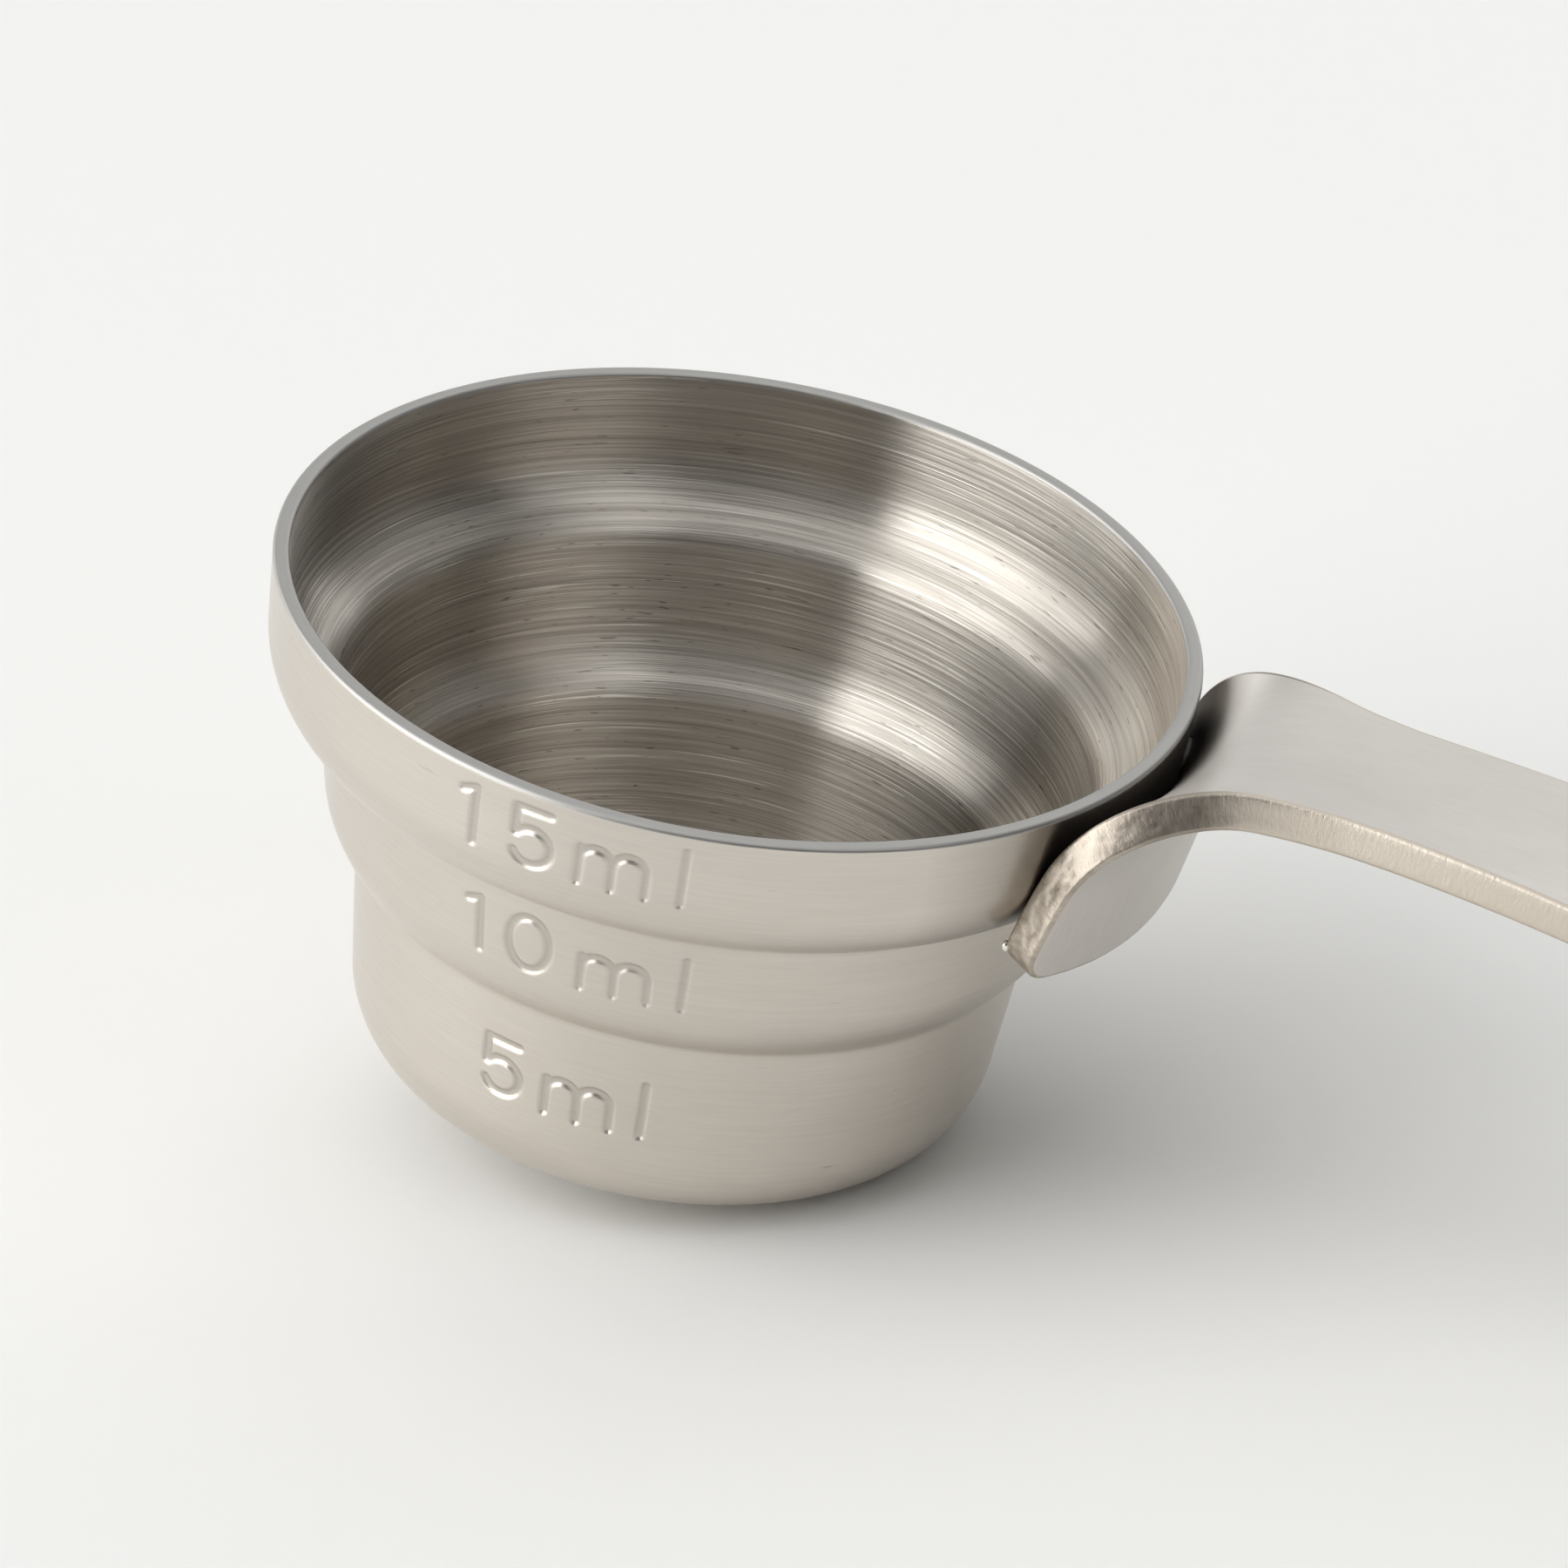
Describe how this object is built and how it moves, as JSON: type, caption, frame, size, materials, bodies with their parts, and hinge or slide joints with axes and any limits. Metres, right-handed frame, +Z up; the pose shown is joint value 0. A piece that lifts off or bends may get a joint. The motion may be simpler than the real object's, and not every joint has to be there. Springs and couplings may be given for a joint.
{
  "type": "measuring spoon",
  "caption": "Stepped stainless measuring spoon: a pressed cup in three tiers, each a measure, with a formed strap handle spot-welded to its side.",
  "frame": {"origin": "on the table, under the centre of the resting spoon's box", "axes": "+X from the cup towards the handle's end, +Z up from the table that the spoon rests on, +Y to the left of the handle"},
  "size_m": [0.1084, 0.0386, 0.0269],
  "materials": {
    "cup": "satin, spun inside and brushed outside",
    "handle": "satin, fine brushed, with ground edges",
    "spot_welds": "bare weld metal"
  },
  "bodies": {
    "root": {"cup": "cup", "handle": "handle", "spot_welds": "spot_welds"}
  },
  "joints": []
}
